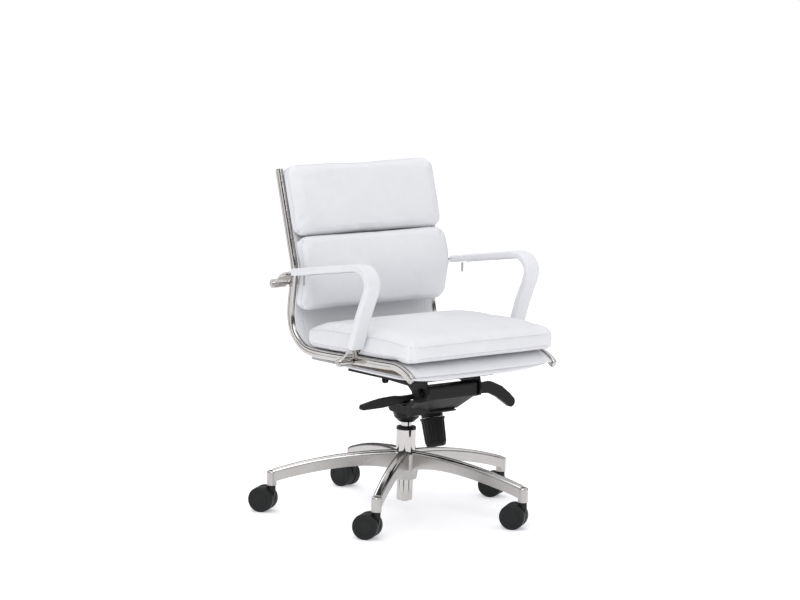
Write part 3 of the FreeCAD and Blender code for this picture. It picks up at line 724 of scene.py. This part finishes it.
# ---- soft goods ----
@dataclass
class Cushion:
    """A boxed leather cushion, puffed by a short cloth simulation and sewn round its edge."""

    name: str
    node: str
    away: Triple         # unit vector away from what the pad rests on
    seam_depth: float    # the seam's distance below the front edge
    cap: float = 0.009
    voxel: float = 0.0055
    shrink: float = 0.0015
    bulge: float = 0.0045
    crown: float = 0.005
    fill: float = 0.8
    corner: float = 0.026
    rim: float = 0.06
    held: float = 0.85
    frames: int = 20
    unevenness: float = 0.0007
    welt: float = 0.0011
    base_seam: float = 0.011
    stitch_gap: float = 0.0052
    stitch: tuple[float, ...] = (0.0048, 0.0034, 0.0007, 0.0009)
    seam_points: int = 220

    def build(self, finishes: Finishes, rows: RowTree) -> None:
        """Make the cushion, its two seams and their stitches.

        Args:
            finishes: The chair's materials.
            rows: The tree that sets stitches.
        """
        pad = self.copy_of_solid()
        self.remesh(pad)
        self.puff(pad)
        subdivide(pad)
        self.soften(pad)
        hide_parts(self.node)
        dress(pad, finishes.get(Finish.LEATHER))
        tree = BVHTree.FromObject(pad, bpy.context.evaluated_depsgraph_get())
        for label, depth in (("upper", self.seam_depth), ("lower", None)):
            loop = self.seam_loop(pad, tree, depth)
            cord = thin_cord(f"{self.name}_{label}_welt", loop, self.welt, closed=True)
            dress(cord, finishes.get(Finish.LEATHER_EDGE))
        line = self.seam_loop(pad, tree, self.seam_depth + self.stitch_gap)
        rows.lay(f"{self.name}_stitches", line, finishes.get(Finish.THREAD), self.stitch, closed=True)

    def copy_of_solid(self) -> Piece:
        """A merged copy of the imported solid."""
        pad = add_object(self.name, bpy.data.objects[self.node].data.copy())
        tidy_normals(pad, 1e-5)
        return pad

    def remesh(self, pad: Piece) -> None:
        """Even out the mesh, then pull the surface in by the shrink distance."""
        modifier = pad.modifiers.new("even", "REMESH")
        modifier.mode = "VOXEL"
        modifier.voxel_size = self.voxel
        bake_modifiers(pad)
        points = points_of(pad.data) - normals_of(pad.data) * self.shrink
        set_points(pad.data, self.fill_out(self.round_corners(points)))

    def flat_frame(self, points: np.ndarray) -> tuple[np.ndarray, ...]:
        """The pad's middle, its two ways along its face, its half sizes and its points along those ways."""
        middle = 0.5 * (points.max(0) + points.min(0))
        up = np.array(self.away)
        ways = np.c_[ACROSS, np.cross(up, ACROSS)]
        flat = (points - middle) @ ways
        middle = middle + ways @ (0.5 * (flat.max(0) + flat.min(0)))
        return middle, ways, 0.5 * (flat.max(0) - flat.min(0)), (points - middle) @ ways

    def fill_out(self, points: np.ndarray) -> np.ndarray:
        """Bow the sides outwards between base and face, and crown the face.

        Args:
            points: The pad's points, with rounded corners.

        Returns:
            The same points, moved.
        """
        middle, ways, reach, flat = self.flat_frame(points)
        up = np.array(self.away)
        level = (points - middle) @ up
        strips = 16
        strip = np.clip(((flat[:, 1] / reach[1] + 1) * strips / 2).astype(int), 0, strips - 1)
        low = np.array([level[strip == k].min() for k in range(strips)])
        high = np.array([level[strip == k].max() for k in range(strips)])
        along = np.linspace(1 / strips - 1, 1 - 1 / strips, strips) * reach[1]
        base = np.interp(flat[:, 1], along, low)
        face = np.interp(flat[:, 1], along, high)
        part = np.clip((level - base) / np.maximum(face - base, 1e-6), 0, 1)
        rim = np.clip((np.abs(flat) - (reach - self.rim)) / self.rim, 0, 1) ** 1.5
        out = np.sign(flat) * rim * np.sin(math.pi * part ** 0.85)[:, None] * self.bulge
        inner = np.clip(np.abs(flat) / reach, 0, 1)
        rise = self.crown * part * (1 - inner[:, 0] ** 3) * (1 - inner[:, 1] ** 3)
        return points + out @ ways.T + rise[:, None] * up

    def round_corners(self, points: np.ndarray) -> np.ndarray:
        """Turn the square corners of the pad's outline into quarter circles.

        Args:
            points: The pad's points, an outline with square corners.

        Returns:
            The same points, those near a corner drawn in.
        """
        _, ways, reach, flat = self.flat_frame(points)
        into = np.clip(np.abs(flat) - (reach - self.corner), 0, None)
        size = np.linalg.norm(into, axis=1)
        shrink = np.where(size > 0, into.max(1) / np.maximum(size, 1e-9), 1.0)
        drawn = np.sign(flat) * (np.abs(flat) - into * (1 - shrink)[:, None])
        return points + (drawn - flat) @ ways.T

    def puff(self, pad: Piece) -> None:
        """Swell the pad under pressure, capped, and not towards what it rests on."""
        before = points_of(pad.data)
        cloth = pad.modifiers.new("leather", "CLOTH")
        settings = cloth.settings
        settings.use_pressure = True
        settings.uniform_pressure_force = 4.0
        settings.effector_weights.gravity = 0.0
        settings.quality = 5
        settings.mass = 0.4
        settings.tension_stiffness = 25
        settings.compression_stiffness = 25
        settings.shear_stiffness = 12
        settings.bending_stiffness = 4
        cloth.point_cache.frame_start = 1
        cloth.point_cache.frame_end = self.frames
        scene = bpy.context.scene
        for frame in range(1, self.frames + 1):
            scene.frame_set(frame)
        graph = bpy.context.evaluated_depsgraph_get()
        after = points_of(pad.evaluated_get(graph).data)
        pad.modifiers.clear()
        scene.frame_set(1)
        move = after - before
        away = np.array(self.away)
        into_base = np.clip((move * away).sum(1), None, 0)[:, None]
        move -= into_base * away
        _, ways, _, flat = self.flat_frame(before)
        drift = move @ ways
        inward = np.clip(drift * np.sign(flat), None, 0) * np.sign(flat)
        move -= (inward * self.held) @ ways.T
        length = np.linalg.norm(move, axis=1)[:, None]
        move *= np.minimum(1, self.cap / np.maximum(length, 1e-9))
        set_points(pad.data, before + move)

    def soften(self, pad: Piece) -> None:
        """Add the slow unevenness of foam under leather."""
        points = points_of(pad.data)
        spots = [Vector(point) for point in points]
        waves = np.array([noise.noise(spot * 17.0) + 0.4 * noise.noise(spot * 61.0) for spot in spots])
        set_points(pad.data, points + normals_of(pad.data) * (waves * self.unevenness)[:, None])

    def seam_loop(self, pad: Piece, tree: BVHTree, depth: float | None) -> np.ndarray:
        """Points round the pad's side where a seam lies.

        Args:
            pad: The finished pad.
            tree: The same pad, for finding its surface.
            depth: Distance below the front face, or None for the seam near the base.

        Returns:
            A loop of points on the surface.
        """
        middle, ways, reach, _ = self.flat_frame(points_of(pad.data))
        up = np.array(self.away)
        outs = circle(self.seam_points)
        outs = outs / np.maximum(np.abs(outs[:, :1]) * 0.999, np.abs(outs[:, 1:]))
        outs = np.clip(outs, -1, 1) * reach
        into = np.clip(np.abs(outs) - (reach - self.corner), 0, None)
        size = np.maximum(np.linalg.norm(into, axis=1), 1e-9)[:, None]
        outs -= np.sign(outs) * into * (1 - into.max(1, keepdims=True) / size)
        rims = middle + outs[:, :1] * ways[:, 0] + outs[:, 1:] * ways[:, 1]
        levels = np.array([self.level_at(tree, middle + (rim - middle) * 0.9, up, depth) for rim in rims])
        for _ in range(6):
            levels = (np.roll(levels, 1) + 2 * levels + np.roll(levels, -1)) / 4
        loop = []
        for rim, level in zip(rims, levels):
            target = middle + (rim - middle) * 0.8 + up * level
            way = Vector((middle - rim).tolist()).normalized()
            hit = tree.ray_cast(Vector((target - np.array(way) * 0.3).tolist()), way)[0]
            loop.append(hit if hit is not None else target)
        path = np.array(loop)
        return (np.roll(path, 1, 0) + 2 * path + np.roll(path, -1, 0)) / 4

    def level_at(self, tree: BVHTree, spot: np.ndarray, up: np.ndarray, depth: float | None) -> float:
        """A seam's height above the pad's middle plane, near one spot of its rim."""
        way = Vector(up.tolist())
        middle = Vector(spot.tolist())
        if depth is None:
            hit = tree.ray_cast(middle - way * 0.2, way)[0]
            return (hit - middle).dot(way) + self.base_seam if hit is not None else -0.01
        hit = tree.ray_cast(middle + way * 0.2, -way)[0]
        return (hit - middle).dot(way) - depth if hit is not None else 0.01


@dataclass
class Sling:
    """The leather sheet between the ribs, with a sewn hem beside each rib."""

    half: float = 0.2270
    low: float = 0.006
    high: float = 0.009
    seam_x: float = 0.201
    sag: float = 0.0022
    hem: float = 0.0004
    stitch: tuple[float, ...] = (0.0046, 0.0034, 0.0008, 0.0012)
    stations: int = 170

    def build(self, finishes: Finishes, rows: RowTree) -> None:
        """Make the sheet and the stitches along both hems."""
        place, out = spline(RIB_LINE, self.stations)
        fine = np.array([-0.006, -0.003, -0.0015, 0, 0.0015, 0.003, 0.006])
        middle = np.linspace(-0.185, 0.185, 27)
        xs = np.r_[-self.half, -self.seam_x + fine, middle, self.seam_x + fine, self.half]
        xs = np.unique(np.round(xs, 5))
        shape = -self.sag * (1 - (xs / self.half) ** 2)
        groove = -0.0009 * np.exp(-((np.abs(xs) - self.seam_x) / 0.0018) ** 2)
        hem = self.hem * (np.abs(xs) > self.seam_x)
        top = self.grid(place, out, xs, self.high + shape + groove + hem)
        bottom = self.grid(place, out, xs, self.low + shape - groove - hem)
        sheet = slab("sling_sheet", top, bottom)
        subdivide(sheet)
        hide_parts("sling")
        dress(sheet, finishes.get(Finish.LEATHER))
        shape_at_seam = -self.sag * (1 - (self.seam_x / self.half) ** 2)
        for side in Side:
            for face, level in (("front", self.high), ("back", self.low)):
                lift = level + self.hem * (-1 if face == "front" else 1) + shape_at_seam
                path = np.c_[np.full(len(place), side.value * (self.seam_x + 0.0032)), place + out * lift]
                rows.lay(f"sling_stitches_{side.label}_{face}", path[2:-2], finishes.get(Finish.THREAD),
                         self.stitch)

    @staticmethod
    def grid(place: np.ndarray, out: np.ndarray, xs: np.ndarray, levels: np.ndarray) -> np.ndarray:
        """Points across the sheet at each station, at a distance from the ribs' middle."""
        points = np.zeros((len(place), len(xs), 3))
        points[..., 0] = xs
        points[..., 1:] = place[:, None] + out[:, None] * levels[None, :, None]
        return points


@dataclass
class SeatBelly:
    """The padded underside of the seat, drawn in to a hem at its rim."""

    half: float = 0.224
    top: float = 0.3995
    rim: float = 0.0035
    fall: float = 4.5
    welt: float = 0.0016
    seam_x: float = 0.2165
    stitch: tuple[float, ...] = (0.0048, 0.0034, 0.0007, 0.0012)
    stations: tuple[tuple[float, float], ...] = (
        (0.112, 0.3935), (0.084, 0.385), (0.050, 0.376), (0.0, 0.3705), (-0.080, 0.3692), (-0.170, 0.3700),
        (-0.225, 0.377), (-0.252, 0.383), (-0.262, 0.3875))

    def build(self, finishes: Finishes, rows: RowTree) -> None:
        """Make the form and its hem."""
        ys = np.linspace(self.stations[0][0], self.stations[-1][0], 56)
        known = np.array(self.stations)[::-1]
        belly = np.interp(ys, known[:, 0], known[:, 1])
        xs = self.half * np.sin(np.linspace(-math.pi / 2, math.pi / 2, 61))
        edge = self.top - self.rim
        across = 1 - np.abs(xs / self.half) ** self.fall
        bottom = np.zeros((len(ys), len(xs), 3))
        bottom[..., 0], bottom[..., 1] = xs[None], ys[:, None]
        bottom[..., 2] = edge - (edge - belly)[:, None] * across[None]
        top = bottom.copy()
        top[..., 2] = self.top
        for i, j in np.ndindex(len(ys), len(xs)):
            wave = noise.noise(Vector((xs[j], ys[i], 0.3)) * 14.0)
            bottom[i, j, 2] += 0.0009 * wave * across[j]
        form = slab("seat_belly", top, bottom)
        subdivide(form)
        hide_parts("seat_base_cover")
        dress(form, finishes.get(Finish.LEATHER))
        drop = (edge - belly) * (1 - (self.seam_x / self.half) ** self.fall)
        flat = np.ones(len(ys))
        for side in Side:
            path = np.c_[flat * side.value * (self.half + 0.0002), ys, flat * (edge - 0.0004)]
            welt = thin_cord(f"belly_hem_{side.label}", path[1:-1], self.welt)
            dress(welt, finishes.get(Finish.LEATHER_EDGE))
            line = np.c_[flat * side.value * self.seam_x, ys, edge - drop]
            rows.lay(f"belly_stitches_{side.label}", line[2:-2], finishes.get(Finish.THREAD),
                     self.stitch)


@dataclass
class ArmSleeve:
    """A padded leather sleeve over one arm's bar, with a zip along its underside."""

    side: Side
    x: float = 0.262
    width: float = 0.0436
    thick: float = 0.0182
    zip_span: Span = (0.10, 0.93)
    stitch_x: float = 0.0092
    teeth: tuple[float, ...] = (0.0021, 0.0014, 0.0042, 0.0016)
    stitch: tuple[float, ...] = (0.0042, 0.003, 0.0007, 0.0007)

    def build(self, finishes: Finishes, rows: RowTree) -> None:
        """Make the sleeve, its zip tape and teeth, and the stitches beside them."""
        place, out = spline(ARM_LINE, 260)
        keep = (place[:, 0] < 0.128) & ~((place[:, 0] > -0.101) & (place[:, 1] < 0.464))
        place, out = place[keep], out[keep]
        count = len(place)
        side_way = np.tile(ACROSS, (count, 1))
        up = np.c_[np.zeros(count), out]
        centres = np.c_[np.full(count, self.side.value * self.x), place]
        sleeve = tube(f"arm_sleeve_leather_{self.side.label}", centres, side_way, up, self.outlines(centres))
        subdivide(sleeve)
        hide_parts(f"arm_sleeve_{self.side.label}")
        dress(sleeve, finishes.get(Finish.LEATHER))
        stretch = slice(*(int(count * share) for share in self.zip_span))
        zipped = centres[stretch] - up[stretch] * (self.thick / 2 + 0.0001)
        ways = (side_way[stretch], up[stretch])
        tape = tube(f"zip_tape_{self.side.label}", zipped, *ways,
                    np.array([(-0.006, -0.0004), (0.006, -0.0004), (0.006, 0.0008), (-0.006, 0.0008)]))
        dress(tape, finishes.get(Finish.LEATHER_EDGE))
        rows.lay(f"zip_teeth_{self.side.label}", zipped - ways[1] * 0.0008, finishes.get(Finish.ZINC), self.teeth)
        for shift in (-self.stitch_x, self.stitch_x):
            line = zipped + np.array([shift, 0, 0]) + ways[1] * 0.0002
            rows.lay(f"sleeve_stitches_{self.side.label}_{'in' if shift < 0 else 'out'}", line,
                     finishes.get(Finish.THREAD), self.stitch)

    def outlines(self, centres: np.ndarray) -> np.ndarray:
        """A soft-cornered outline for each station: fuller at the hems, slightly uneven between."""
        round_shape = circle(36)
        shape = np.sign(round_shape) * np.abs(round_shape) ** (0.32, 0.55) * (self.width / 2, self.thick / 2)
        steps = np.linspace(0, 1, len(centres))
        hem = 0.05 * np.exp(-(steps / 0.012) ** 2) + 0.05 * np.exp(-((1 - steps) / 0.012) ** 2)
        end = 1 - 0.25 * np.exp(-(steps / 0.003) ** 2) - 0.25 * np.exp(-((1 - steps) / 0.003) ** 2)
        rings = []
        for index, centre in enumerate(centres):
            spots = (Vector(centre * 30.0) + Vector((a, b, 0)) * 60.0 for a, b in shape)
            uneven = np.array([noise.noise(spot) for spot in spots])
            rings.append(shape * ((1 + hem[index]) * end[index]) * (1 + 0.02 * uneven)[:, None])
        return np.array(rings)


# ---- hardware ----
@dataclass
class Fasteners:
    """Socket screws in the ends of the cross rods and in the arm's eyes."""

    rod_end: float = 0.284
    rear: tuple[float, float] = (0.200, 0.576)
    front: tuple[float, float] = (-0.063, 0.415)

    def build(self, finishes: Finishes, heads: HeadTree) -> None:
        """Put a screw in each rod end."""
        profile = ((0, 0.0004), (0.0022, 0.0004), (0.0024, 0.0020), (0.0044, 0.0019), (0.0056, 0.0010),
                   (0.0058, -0.0004), (0, -0.0004))
        head = lathe("screw_pattern", profile, 24)
        spots = [(Vector((side.value * (self.rod_end + 0.0003), *spot)), Vector((side.value, 0, 0)))
                 for side in Side for spot in (self.rear, self.front)]
        screws = heads.set_on("rod_end_screws", spots, head, finishes.get(Finish.CHROME))
        bpy.data.objects.remove(head)
        dress(screws, finishes.get(Finish.CHROME), "seat")


@dataclass
class RibEnds:
    """Plugs that close the ribs at the seat's front and at the top of the back."""

    x: float = 0.234
    half_size: Span = (0.0064, 0.0106)
    dome: tuple[Span, ...] = ((-0.002, 0.96), (0.0006, 1.0), (0.0022, 0.97), (0.0032, 0.8), (0.0036, 0.45))

    def build(self, finishes: Finishes) -> None:
        """Make a plug for each end of each rib."""
        place, out = spline(RIB_LINE, 200)
        for side in Side:
            for label, index, way in (("top", 0, place[0] - place[1]), ("front", -1, place[-1] - place[-2])):
                way = way / np.linalg.norm(way)
                centres = [[side.value * self.x, *(place[index] + way * forward)] for forward, _ in self.dome]
                rings = [circle(32) * self.half_size * size for _, size in self.dome]
                up = np.tile([0.0, *out[index]], (len(centres), 1))
                across = np.tile(ACROSS, (len(centres), 1))
                plug = tube(f"rib_plug_{label}_{side.label}", np.array(centres), across, up,
                            np.array(rings))
                dress(plug, finishes.get(Finish.CHROME), "seat")


class CarriedPieces:
    """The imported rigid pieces, which keep their meshes and get their finishes."""

    FINISH_OF_SLOT = {
        "polished_aluminium": Finish.ALUMINIUM, "chrome": Finish.CHROME, "zinc_steel": Finish.ZINC,
        "black_plastic": Finish.BLACK_PLASTIC, "black_steel": Finish.BLACK_STEEL,
        "castor_plastic": Finish.CASTOR, "plywood": Finish.PLYWOOD, "white_leather": Finish.LEATHER}

    def dress(self, frame: dict, finishes: Finishes) -> None:
        """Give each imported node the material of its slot."""
        slots = {part["node"]: part["material_slot"] for part in frame["record"]["subparts"]}
        for name, node in frame["nodes"].items():
            material = finishes.get(self.FINISH_OF_SLOT[slots[name]])
            node.data.materials.clear()
            node.data.materials.append(material)
            LOG.info("%s: %s", name, material.name)


# ---- studio ----
@dataclass
class Studio:
    """Floor, soft lights, sky and camera."""

    eye: Triple = (-5.2428, -5.9973, 1.6804)
    forward: Triple = (0.6492, 0.7473, -0.1418)
    upward: Triple = (0.0719, 0.1253, 0.9895)
    lens: float = 145.0
    ambient: float = 0.66
    bands: tuple[Span, ...] = ((0.0, 0.6), (0.44, 0.6), (0.50, 0.18), (0.56, 0.06), (0.65, 0.14), (0.72, 0.85),
                               (0.84, 1.1), (1.0, 0.6))
    sun_from: Triple = (-0.75, -0.35, 1.0)
    lamps: tuple[tuple[str, Triple, float, float], ...] = (
        ("key", (-3.0, -3.4, 3.6), 2.6, 44.0), ("fill", (3.6, -2.2, 2.4), 2.4, 12.0),
        ("top", (0.4, 0.6, 4.2), 3.2, 34.0), ("back", (1.2, 4.0, 3.0), 2.4, 20.0))

    def build(self, finishes: Finishes) -> None:
        """Set everything up."""
        self.floor(finishes)
        self.sky()
        self.lights()
        self.camera()
        bpy.context.scene.view_settings.view_transform = "Standard"

    def floor(self, finishes: Finishes) -> None:
        """A wide plain floor."""
        plate = new_object("studio_floor", np.array([(-30, -30, 0), (30, -30, 0), (30, 30, 0), (-30, 30, 0)]),
                           [(0, 1, 2, 3)])
        plate.data.materials.append(finishes.get(Finish.FLOOR))

    def sky(self) -> None:
        """A white surround that is darker low down and darkest in a band round the horizon, so bright metal has
        contrast.
        """
        world = bpy.data.worlds.new("studio")
        bpy.context.scene.world = world
        world.use_nodes = True
        tree = world.node_tree
        back = tree.nodes["Background"]
        place = add_node(tree, "ShaderNodeTexCoord")
        parts = add_node(tree, "ShaderNodeSeparateXYZ", place.outputs["Generated"])
        height = add_node(tree, RESCALE, Value=parts.outputs["Z"], From_Min=-1.0, From_Max=1.0)
        ramp = add_node(tree, "ShaderNodeValToRGB", height.outputs["Result"])
        stops = ramp.color_ramp.elements
        for stop, (position, level) in zip(stops, (self.bands[0], self.bands[-1])):
            stop.position = position
            stop.color = (level, level, level, 1)
        for position, level in self.bands[1:-1]:
            stops.new(position).color = (level, level, level * 1.01, 1)
        seen = add_node(tree, "ShaderNodeLightPath")
        plain = (self.ambient, self.ambient, self.ambient * 1.02, 1.0)
        mirrored = mix(tree, "RGBA", seen.outputs["Is Glossy Ray"], plain, ramp.outputs["Color"])
        direct = mix(tree, "RGBA", seen.outputs["Is Camera Ray"], mirrored, (1.0, 1.0, 1.0, 1.0))
        fill_in(tree, back, Color=direct, Strength=1.0)

    def lights(self) -> None:
        """A broad key from the upper left front, a fill and a top light."""
        sun = bpy.data.lights.new("window", "SUN")
        sun.energy = 0.62
        sun.angle = 0.6
        beam = add_object("window", sun)
        beam.rotation_euler = Vector(self.sun_from).to_track_quat("Z", "Y").to_euler()
        for name, spot, size, power in self.lamps:
            lamp = bpy.data.lights.new(name, "AREA")
            lamp.shape = "DISK"
            lamp.size = size
            lamp.energy = power
            holder = add_object(name, lamp)
            holder.location = spot
            holder.rotation_euler = (Vector((0, 0, 0.45)) - Vector(spot)).to_track_quat("-Z", "Y").to_euler()

    def camera(self) -> None:
        """A long lens at the chair's front left."""
        data = bpy.data.cameras.new("camera")
        data.lens = self.lens
        data.sensor_width = 36.0
        data.clip_end = 100.0
        eye = add_object("camera", data)
        back = -Vector(self.forward).normalized()
        up = Vector(self.upward).normalized()
        right = up.cross(back).normalized()
        up = back.cross(right)
        turn = Matrix((right, up, back)).transposed().to_4x4()
        eye.matrix_world = Matrix.Translation(self.eye) @ turn
        bpy.context.scene.camera = eye


def main() -> None:
    """Load the frame, build the soft goods and hardware, and set the studio."""
    logging.basicConfig(level=logging.INFO, format="%(message)s")
    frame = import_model()
    finishes = Finishes()
    rows = RowTree()
    heads = HeadTree()
    CarriedPieces().dress(frame, finishes)
    cushions = (
        Cushion("seat_cushion", "seat_pad", (0.0, 0.0, 1.0), 0.017, cap=0.011, corner=0.018, bulge=0.003),
        Cushion("upper_back_cushion", "upper_pad", (0.0, -0.959, 0.284), 0.014),
        Cushion("lower_back_cushion", "lower_pad", (0.0, -0.9995, 0.03), 0.014),
    )
    for cushion in cushions:
        cushion.build(finishes, rows)
    Sling().build(finishes, rows)
    SeatBelly().build(finishes, rows)
    for side in Side:
        ArmSleeve(side).build(finishes, rows)
    Fasteners().build(finishes, heads)
    RibEnds().build(finishes)
    Studio().build(finishes)


if __name__ == "__main__":
    main()
